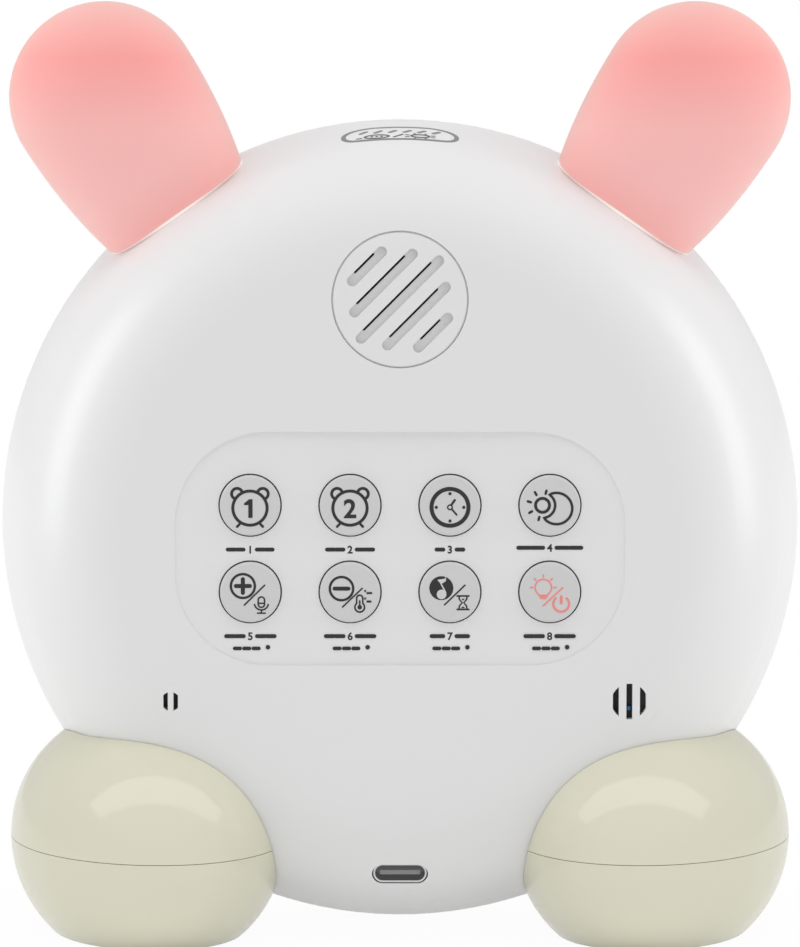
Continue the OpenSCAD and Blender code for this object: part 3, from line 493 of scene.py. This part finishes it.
def grown(tree, values, base=None):
    """The plain mesh that a tree makes with these values, from a base mesh or nothing."""
    base = base or bpy.data.meshes.new("seed")
    carrier = bpy.data.objects.new("carrier", base)
    bpy.context.scene.collection.objects.link(carrier)
    modifier = carrier.modifiers.new("grow", "NODES")
    modifier.node_group = tree
    for item in tree.interface.items_tree:
        if item.in_out == "INPUT" and item.name in values:
            modifier[item.identifier] = values[item.name]
    graph = bpy.context.evaluated_depsgraph_get()
    mesh = bpy.data.meshes.new_from_object(carrier.evaluated_get(graph))
    bpy.data.objects.remove(carrier)
    return mesh


CREASE = math.radians(35)


def add_piece(name, mesh, body, stands_for=()):
    """Shows a finished mesh as a piece that rides on a body."""
    mesh.name = name
    piece = bpy.data.objects.new(name, mesh)
    bpy.context.scene.collection.objects.link(piece)
    mesh.polygons.foreach_set("use_smooth", [True] * len(mesh.polygons))
    mesh.set_sharp_from_angle(angle=CREASE)
    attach(piece, body)
    if stands_for:
        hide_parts(*stands_for)


print("geometry tools ready")

# %% [markdown]
# ## Ears
#
# An ear is a flattened egg: the upper half of a ball on the lower half of a taller
# ellipsoid, a little squarer in section than an ellipse. That is a rule, so Geometry
# Nodes shape it from a plain ball of rings. The same tree sets it on the crown: it is
# tilted outwards, moved to its place and cut by a ball a little larger than the crown's,
# so the pale seat shows as a thin seam below it, kept pale in the shade by a painted glow.

# %% The tree that shapes an ear
EAR_W = 16.05 * MM  # half its width
EAR_H = 39.1 * MM  # from its place inside the crown to its tip
EAR_LOW = 40 * MM  # half the height of the ellipsoid that its lower half is part of
EAR_FLAT = 0.72
EAR_SQUARE = 2.5  # the power in |x|^p + |y|^p = 1, where 2 gives an ellipse
LEAST_SUM = 0.8  # the sum is larger than this all over, except at the poles, where it is 0
TINY = 1e-9  # keeps the poles from a division by 0
EAR_BASE_R = 64.6 * MM  # from the axis to its place
EAR_DIR = 35.2  # degrees from upright to its place
EAR_TILT = 32.5  # degrees that it leans outwards
EAR_Y = -3 * MM
EAR_SEAT = 0.55 * MM


def ear_tree():
    """The rule of an ear, from a ball of radius 1 to a seated shape."""
    tree, maths, given = geometry_tree("ear", [
        ("Half width", "NodeSocketFloat", EAR_W), ("Height", "NodeSocketFloat", EAR_H),
        ("Half height below", "NodeSocketFloat", EAR_LOW),
        ("Thickness share", "NodeSocketFloat", EAR_FLAT),
        ("Squareness", "NodeSocketFloat", EAR_SQUARE),
        ("Place", "NodeSocketVector", None), ("Turn", "NodeSocketRotation", None),
        ("Seat centre", "NodeSocketVector", None), ("Seat radius", "NodeSocketFloat", BODY_R),
        ("Material", "NodeSocketMaterial", None)])
    ball = maths.node("GeometryNodeMeshUVSphere", Segments=128, Rings=96, Radius=1.0)
    position = maths.out(maths.node("GeometryNodeInputPosition"))
    parts = maths.node("ShaderNodeSeparateXYZ", Vector=position)
    x, y, z = (maths.out(parts, axis) for axis in "XYZ")
    across = maths.calc("SQRT", (x * x + y * y) + TINY)
    power = given["Squareness"]
    corner = (maths.calc("ABSOLUTE", x / across) ** power
              + maths.calc("ABSOLUTE", y / across) ** power)
    fuller = maths.calc("MAXIMUM", corner, LEAST_SUM) ** (-1 / power)
    upper = maths.calc("GREATER_THAN", z, 0.0)
    rise = given["Half height below"] + upper * (given["Half width"] - given["Half height below"])
    wide = given["Half width"] * fuller
    place = maths.node("ShaderNodeCombineXYZ", X=x * wide, Y=y * wide * given["Thickness share"],
                       Z=z * rise + (given["Height"] - given["Half width"]))
    shaped = maths.node("GeometryNodeSetPosition", Geometry=maths.out(ball, "Mesh"),
                        Position=maths.out(place))
    stood = maths.node("GeometryNodeTransform", Geometry=maths.out(shaped),
                       Translation=given["Place"], Rotation=given["Turn"])
    seat = maths.node("GeometryNodeMeshUVSphere", Segments=256, Rings=256,
                      Radius=given["Seat radius"])
    seat_there = maths.node("GeometryNodeTransform", Geometry=maths.out(seat, "Mesh"),
                            Translation=given["Seat centre"])
    cut = maths.node("GeometryNodeMeshBoolean", {"operation": "DIFFERENCE", "solver": "EXACT"},
                     Mesh_1=maths.out(stood), Mesh_2=maths.out(seat_there))
    close_tree(maths, maths.out(cut), given["Material"])
    return tree


EAR = ear_tree()


def ear(side, name, node_name):
    """The ear on the side, 1 for left or -1 for right, in place of a node."""
    angle = math.radians(EAR_DIR)
    place = (side * EAR_BASE_R * math.sin(angle), EAR_Y, CENTRE_Z + EAR_BASE_R * math.cos(angle))
    mesh = grown(EAR, {"Half width": EAR_W, "Height": EAR_H, "Half height below": EAR_LOW,
                       "Thickness share": EAR_FLAT, "Squareness": EAR_SQUARE,
                       "Place": place, "Turn": (0, side * math.radians(EAR_TILT), 0),
                       "Seat centre": (0, PART_Y, CENTRE_Z), "Seat radius": BODY_R + EAR_SEAT,
                       "Material": finish["ear_silicone"]})
    add_piece(name, mesh, "casing", [node_name])
    print(name, len(mesh.polygons), "faces")


ear(1, "ear_skin_left", "ear_cover_left")
ear(-1, "ear_skin_right", "ear_cover_right")

# %% [markdown]
# ## Printed marks
#
# The marks on the caps are pad printed: a film of ink with crisp edges. They could be a
# picture on the cap, but drawn shapes stay sharp at any distance. Each mark is a wire
# drawing in millimetres, u to the right and v upwards as one looks at the rear. One tree
# sweeps a flat ribbon along the wires, another fills closed wires, and both give the
# ink its thickness. The drawing is then stood on the cap and rides with it.

# %% The two printing trees
INK_T = 0.03 * MM
INK_STEP = 0.06  # the share of its height that each mark stands over the one before
SAME_POINT = 1e-7


def line_tree():
    """Sweeps a flat ribbon along wires."""
    tree, maths, given = geometry_tree("ink_line", [
        ("Line width", "NodeSocketFloat", 0.3 * MM), ("Ink height", "NodeSocketFloat", INK_T),
        ("Material", "NodeSocketMaterial", None)])
    path = maths.node("GeometryNodeMeshToCurve", Mesh=given["Geometry"])
    flat = maths.node("GeometryNodeSetCurveNormal", {"mode": "Z_UP"}, Curve=maths.out(path))
    nib = maths.node("GeometryNodeCurvePrimitiveQuadrilateral", Width=given["Line width"],
                     Height=given["Ink height"])
    ribbon = maths.node("GeometryNodeCurveToMesh", Curve=maths.out(flat),
                        Profile_Curve=maths.out(nib), Fill_Caps=True)
    close_tree(maths, maths.out(ribbon), given["Material"])
    return tree


def patch_tree():
    """Fills closed wires with a film."""
    tree, maths, given = geometry_tree("ink_patch", [
        ("Ink height", "NodeSocketFloat", INK_T), ("Material", "NodeSocketMaterial", None)])
    path = maths.node("GeometryNodeMeshToCurve", Mesh=given["Geometry"])
    face = maths.node("GeometryNodeFillCurve", {"mode": "NGONS"}, Curve=maths.out(path))
    thick = maths.node("GeometryNodeExtrudeMesh", Mesh=maths.out(face),
                       Offset_Scale=given["Ink height"], Individual=False)
    # the extrusion leaves the under side open, and the same face closes it, turned round
    under = maths.node("GeometryNodeFlipFaces", Mesh=maths.out(face))
    both = tree.nodes.new("GeometryNodeJoinGeometry")
    tree.links.new(thick.outputs["Mesh"], both.inputs[0])
    tree.links.new(under.outputs[0], both.inputs[0])
    whole = maths.node("GeometryNodeMergeByDistance", Geometry=maths.out(both),
                       Distance=SAME_POINT)
    close_tree(maths, maths.out(whole), given["Material"])
    return tree


INK_LINE, INK_PATCH = line_tree(), patch_tree()
print("printing trees:", INK_LINE.name, INK_PATCH.name)

# %% [markdown]
# The drawings are lists of arcs, bars with round ends, and dots, so a small pen keeps them
# short. Their numbers are millimetres from the middle of a cap. A drawing has one ink, and
# a print is one mesh of several drawings.

# %% Drawing with a pen
def beside(middle, r, turn, r_up=None):
    """The point at r from the middle, turned by degrees; r_up is the reach upwards."""
    turn = math.radians(turn)
    return middle[0] + r * math.cos(turn), middle[1] + (r_up or r) * math.sin(turn)


def oval(u, v, r, r_up):
    """The closed outline of an ellipse that is 2 r wide and 2 r_up high."""
    return [beside((u, v), r, turn, r_up) for turn in range(0, 360, 10)], True


def arc(u, v, r, start=0, end=360, step=7):
    """Points of an arc in degrees, anticlockwise from the right; a full turn is closed."""
    count = max(3, round(abs(end - start) / step))
    closed = abs(end - start) == 360
    turns = [start + (end - start) * i / count for i in range(count + (not closed))]
    return [beside((u, v), r, turn) for turn in turns], closed


def pill(p, q, width, step=15):
    """The closed outline of a bar with round ends."""
    lean = math.degrees(math.atan2(q[1] - p[1], q[0] - p[0]))
    return (arc(*q, width / 2, lean - 90, lean + 90, step)[0]
            + arc(*p, width / 2, lean + 90, lean + 270, step)[0]), True


class Drawing:
    """Marks in one ink, gathered as meshes in the flat plane of the drawing."""

    def __init__(self, ink):
        self.ink = ink
        self.meshes = []

    def height(self):
        """The ink's height; a hair more each time, so that no two marks share a plane."""
        return INK_T * (1 + INK_STEP * len(self.meshes))

    def wires(self, runs):
        """A mesh of edges alone."""
        mesh = bpy.data.meshes.new("wires")
        points, edges = [], []
        for run, closed in runs:
            first = len(points)
            points += [(u * MM, v * MM, 0) for u, v in run]
            edges += [(first + i, first + i + 1) for i in range(len(run) - 1)]
            if closed:
                edges.append((first + len(run) - 1, first))
        mesh.from_pydata(points, edges, [])
        return mesh

    def line(self, width, *runs):
        """Lines of one width along the runs."""
        values = {"Line width": width * MM, "Ink height": 2 * self.height(), "Material": self.ink}
        self.meshes.append(grown(INK_LINE, values, self.wires(runs)))

    def patch(self, *runs, extra=0.0):
        """A filled shape, lifted a little extra where it lies on another mark."""
        height = self.height() + extra * MM
        self.meshes.append(grown(INK_PATCH, {"Ink height": height, "Material": self.ink},
                                 self.wires(runs)))

    def bar(self, p, q, width):
        self.patch(pill(p, q, width))

    def dot(self, u, v, r):
        self.patch(arc(u, v, r, step=20))


def gathered(name, drawings):
    """One mesh of several drawings, each with its own ink."""
    joined = bmesh.new()
    mesh = bpy.data.meshes.new(name)
    for index, drawing in enumerate(drawings):
        mesh.materials.append(drawing.ink)
        for part in drawing.meshes:
            first = len(joined.faces)
            joined.from_mesh(part)
            joined.faces.ensure_lookup_table()
            for face in joined.faces[first:]:
                face.material_index = index
    joined.to_mesh(mesh)
    joined.free()
    return mesh


def stamp(name, drawings, place, body):
    """Stands drawings up on a face that looks to the rear; place is x, y, z in metres."""
    # u runs to -x, v to z, and the ink's height to y
    x, y, z = place
    upright = Matrix(((-1, 0, 0, x), (0, 0, 1, y), (0, 1, 0, z), (0, 0, 0, 1)))
    mesh = gathered(name, drawings)
    mesh.transform(upright)
    add_piece(name, mesh, body)


print("pen ready")

# %% [markdown]
# The upper row of caps: two alarms, the time, and the sun and the moon. The alarm clock
# is a ring with two bells and two legs, drawn once and given its number. The 1 is an
# outline of seven points, and other numerals come from the built-in typeface.

# %% Marks of the upper row
NUMERAL_SHARE = 0.7  # a numeral's height as a share of the typeface's size


def number(drawing, text, u, v, height, bold):
    """A plain numeral from the built-in typeface, as a filled mark."""
    letters = bpy.data.curves.new("numeral", "FONT")
    letters.body = text
    letters.size = height / NUMERAL_SHARE * MM
    letters.align_x = "CENTER"
    letters.offset = bold * MM
    letters.extrude = INK_T
    letters.resolution_u = 4
    carrier = bpy.data.objects.new("numeral", letters)
    bpy.context.scene.collection.objects.link(carrier)
    graph = bpy.context.evaluated_depsgraph_get()
    mesh = bpy.data.meshes.new_from_object(carrier.evaluated_get(graph))
    bpy.data.objects.remove(carrier)
    mesh.transform(Matrix.Translation((u * MM, (v - height / 2) * MM, 0)))
    drawing.meshes.append(mesh)


def alarm_mark(text):
    mark = Drawing(ink_dark)
    mark.line(0.5, arc(0, -0.4, 2.83))
    mark.line(0.48, arc(-2.12, 1.97, 0.9, 25, 255), arc(2.12, 1.97, 0.9, -75, 155))
    mark.bar((-1.72, -3.05), (-2.12, -3.48), 0.42)
    mark.bar((1.72, -3.05), (2.12, -3.48), 0.42)
    if text == "1":
        mark.patch(([(-0.12, 1.07), (-1.01, 0.36), (-0.93, 0.08), (-0.27, 0.14), (-0.27, -2.02),
                     (0.43, -2.02), (0.43, 1.07)], True))
    else:
        number(mark, text, 0, -0.47, 3.0, bold=0.11)
    return [mark]


def time_mark():
    mark = Drawing(ink_dark)
    mark.line(0.68, arc(0, -0.27, 3.05))
    for turn in range(0, 360, 90):
        mark.dot(*beside((0, -0.27), 2.27, turn), 0.27)
    mark.line(0.22, arc(0, -0.27, 0.38, step=15))
    mark.bar((0.24, 0.16), (0.78, 0.92), 0.38)
    mark.bar((0.28, -0.56), (1.1, -1.5), 0.3)
    return [mark]


def sun_moon_mark():
    mark = Drawing(ink_dark)
    sun = (-1.24, 0.06)
    mark.line(0.5, arc(*sun, 1.15))
    for turn in range(75, 256, 45):
        mark.bar(beside(sun, 2.0, turn), beside(sun, 2.5, turn), 0.42)
    outer = arc(1.07, -0.47, 2.6, 118, -144)[0]
    inner = arc(*sun, 2.09, -84, 59)[0]
    mark.line(0.43, (outer + inner[1:-1], True))
    return [mark]


# %% [markdown]
# The lower row pairs two marks with a slash between them: louder and the microphone,
# softer and the thermometer, a note and the hourglass, and the lamp with its switch in
# coral red.

# %% Marks of the lower row
def slash(drawing, p, q):
    drawing.bar(p, q, 0.26)


def louder_mark():
    mark = Drawing(ink_dark)
    mark.line(0.41, arc(-1.2, 1.07, 1.98))
    mark.bar((-2.35, 1.07), (-0.05, 1.07), 0.68)
    mark.bar((-1.2, -0.05), (-1.2, 2.2), 0.68)
    slash(mark, (-0.97, -2.1), (2.4, 1.2))
    mark.line(0.26, pill((1.85, -1.95), (1.85, -1.27), 1.05))
    mark.line(0.26, arc(1.85, -1.75, 1.16, -172, -8))
    mark.line(0.24, ([(1.33, -1.8), (2.37, -1.8)], False),
              ([(1.85, -2.9), (1.85, -3.4)], False), ([(1.1, -3.44), (2.6, -3.44)], False))
    return [mark]


def softer_mark():
    mark = Drawing(ink_dark)
    mark.line(0.41, arc(-1.41, 0.64, 1.93))
    mark.bar((-2.55, 0.64), (-0.27, 0.64), 0.66)
    slash(mark, (-1.24, -2.41), (2.0, 0.68))
    bulb = arc(1.6, -2.45, 0.8, 130, 410)[0]
    top = arc(1.6, -0.95, 0.5, 0, 180)[0]
    mark.line(0.28, (bulb + top, True))
    mark.dot(1.6, -2.45, 0.38)
    mark.bar((1.6, -2.45), (1.6, -1.4), 0.26)
    mark.line(0.12, arc(2.5, 0.25, 0.14, step=30), arc(2.5, -1.0, 0.14, step=30))
    mark.bar((2.85, -0.1), (3.5, -0.1), 0.34)
    mark.bar((2.85, -1.5), (3.4, -1.5), 0.34)
    return [mark]


def sound_mark():
    disc = Drawing(ink_dark)
    disc.dot(-1.42, 0.72, 2.0)
    note = Drawing(finish["button_plastic"])
    note.patch(arc(-1.38, -0.32, 0.8, step=20), extra=0.02)
    note.patch(([(-0.75, -0.2), (-1.72, 1.72), (-2.02, 1.95), (-1.95, 2.15), (-0.9, 2.28),
                 (-0.66, 2.62), (-0.66, 1.9), (-1.35, 1.45), (-0.58, 0.0)], True), extra=0.025)
    rest = Drawing(ink_dark)
    slash(rest, (-0.89, -2.06), (2.47, 1.2))
    glass = [(-0.66, -0.62), (-0.6, -1.15), (-0.14, -1.7), (-0.6, -2.25), (-0.66, -2.8)]
    rest.line(0.26, ([(2.16 + u, v) for u, v in glass], False),
              ([(2.16 - u, v) for u, v in glass], False))
    rest.bar((1.2, -0.58), (3.12, -0.58), 0.28)
    rest.bar((1.2, -2.82), (3.12, -2.82), 0.28)
    rest.patch(([(1.9, -1.05), (2.42, -1.05), (2.16, -1.38)], True))
    rest.patch(([(1.8, -2.6), (2.52, -2.6), (2.16, -2.3)], True))
    return [disc, note, rest]


def lamp_mark():
    mark = Drawing(ink_coral)
    lamp = (-1.07, 0.82)
    head = arc(*lamp, 1.36, -52, 232)[0]
    mark.line(0.25, (head + [(-1.86, -0.45), (-0.28, -0.45)], True))
    mark.line(0.23, ([(-1.78, -0.7), (-0.36, -0.7)], False),
              ([(-1.6, -1.0), (-0.54, -1.0)], False))
    for turn in range(0, 181, 45):
        mark.bar(beside(lamp, 1.75, turn), beside(lamp, 2.1, turn), 0.25)
    slash(mark, (-1.07, -2.2), (2.12, 0.78))
    mark.line(0.36, arc(1.88, -1.9, 1.3, 127, 413))
    mark.bar((1.88, -0.7), (1.88, -1.75), 0.46)
    return [mark]


# %% [markdown]
# Each cap's place comes from its box in the frame. Its print rides on the same body, so
# the marks go in with the cap when it is pressed.

# %% Stamp the caps
MARKS = {
    "alarm_one_button": lambda: alarm_mark("1"), "alarm_two_button": lambda: alarm_mark("2"),
    "time_button": time_mark, "sun_moon_button": sun_moon_mark,
    "volume_up_button": louder_mark, "volume_down_button": softer_mark,
    "sound_button": sound_mark, "power_button": lamp_mark,
}
cap_place = {}
for cap_name, draw in MARKS.items():
    low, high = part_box(cap_name)
    cap_place[cap_name] = ((low.x + high.x) / 2, high.y, (low.z + high.z) / 2)
    stamp(cap_name.replace("_button", "_print"), draw(), cap_place[cap_name], cap_name)
print("printed caps:", len(cap_place))

# %% [markdown]
# Under each cap the panel carries a printed line. The words are left out: a plain number
# between two dashes stands in each place, with a second dashed line and a dot under the
# lower row. The panel lies flat, so its print is stamped as the caps' prints are.

# %% Print under the caps
PANEL_Y = CAP_TOP - 0.8 * MM
LABEL_H = 1.22
LABEL_DROP, SECOND_DROP, DOT_DROP = 7.36, 9.4, 9.2
LABEL_CLEAR = 1.1  # from the middle of the number to its dashes
DASH_W, SECOND_DASH_W = 0.66, 0.6
SECOND_LEFT, SECOND_STEP, SECOND_DASH = 2.6, 1.55, 0.9
DOT_RIGHT, DOT_R = 2.9, 0.38
HALF_WIDTHS = [3.9, 4.0, 2.4, 5.4, 4.2, 4.2, 3.2, 4.2]  # from each number to its line's end
CAPS_IN_ROW = 4


def label(drawing, text, u, v, half):
    """A number between two dashes; a dash is two bars whose round ends overlap."""
    number(drawing, text, u, v, LABEL_H, bold=0.05)
    for side in (-1, 1):
        for i in range(2):
            near = LABEL_CLEAR + i * (half - 1.0) / 2
            far = near + (half - 1.6) / 2
            drawing.bar((u + side * near, v), (u + side * far, v), DASH_W)


panel_print = Drawing(ink_dark)
for index, (cap_name, place) in enumerate(cap_place.items()):
    u, v = -place[0] / MM, (place[2] - CENTRE_Z) / MM
    raised = 0.3 if cap_name == "sun_moon_button" else 0.0
    label(panel_print, str(index + 1), u, v - LABEL_DROP + raised, HALF_WIDTHS[index])
    if index >= CAPS_IN_ROW:
        for i in range(3):
            start, level = u - SECOND_LEFT + SECOND_STEP * i, v - SECOND_DROP
            panel_print.bar((start, level), (start + SECOND_DASH, level), SECOND_DASH_W)
        panel_print.dot(u + DOT_RIGHT, v - DOT_DROP, DOT_R)
stamp("panel_print", [panel_print], (0, PANEL_Y, CENTRE_Z), "casing")
print("panel printed")

# %% [markdown]
# A touch zone lies on the crown, where a print shows it: a rounded frame with a row of
# dashes for its word, and under it a ring with three dots, a slash and a sun. The print
# is drawn flat as well. Each of its points is then raised to the ball that the crown is
# part of, which keeps the film's thickness.

# %% Print on the crown
ZONE_Y = -0.95 * MM


def smooth_loop(points, steps=8):
    """A closed curve that passes through the points (Catmull-Rom)."""
    loop = []
    for i in range(len(points)):
        a, b, c, d = (Vector(points[(i + k) % len(points)]) for k in (-1, 0, 1, 2))
        for j in range(steps):
            t = j / steps
            curve = (2 * b + (c - a) * t + (2 * a - 5 * b + 4 * c - d) * t ** 2
                     + (3 * b - a - 3 * c + d) * t ** 3)
            loop.append(tuple(0.5 * curve))
    return loop, True


def stamp_on_crown(name, drawings):
    """Bends drawings over the crown's ball, with v = 0 at ZONE_Y."""
    mesh = gathered(name, drawings)
    for vertex in mesh.vertices:
        u, v, ink = vertex.co
        x, y = -u, ZONE_Y - v
        rise = (BODY_R + ink) ** 2 - x ** 2 - (y - PART_Y) ** 2
        vertex.co = (x, y, CENTRE_Z + math.sqrt(rise))
    add_piece(name, mesh, "casing")


zone_frame = Drawing(ink_soft)
half_frame = [(2.8, 3.7), (5.4, 3.45), (7.6, 2.45), (9.0, 0.9), (9.5, -0.9), (9.2, -2.5),
              (8.1, -3.5), (6.0, -3.72), (2.8, -3.7)]
zone_frame.line(0.78, smooth_loop(half_frame + [(-u, v) for u, v in reversed(half_frame)]))

zone_marks = Drawing(ink_zone)
ring, sun = (-3.9, -2.05), (3.4, -1.9)
zone_marks.line(0.42, oval(*ring, 2.0, 0.95))
for i in (-1, 0, 1):
    zone_marks.dot(ring[0] + 0.8 * i, ring[1], 0.27)
zone_marks.bar((-7.2, -2.6), (-6.5, -2.6), 0.4)
zone_marks.bar((-1.0, -2.6), (0.4, -1.2), 0.42)
zone_marks.line(0.42, oval(*sun, 1.5, 0.75))

zone_word = Drawing(ink_soft)
for i in range(6):
    start = -6.6 + 2.45 * i
    zone_word.bar((start, 0.2), (start + 0.9, 1.2), 0.75)
for i in range(8):
    turn = 22.5 + 45 * i
    zone_word.bar(beside(sun, 2.1, turn, 1.15), beside(sun, 2.6, turn, 1.45), 0.34)
stamp_on_crown("touch_zone_print", [zone_frame, zone_marks, zone_word])
print("crown printed")
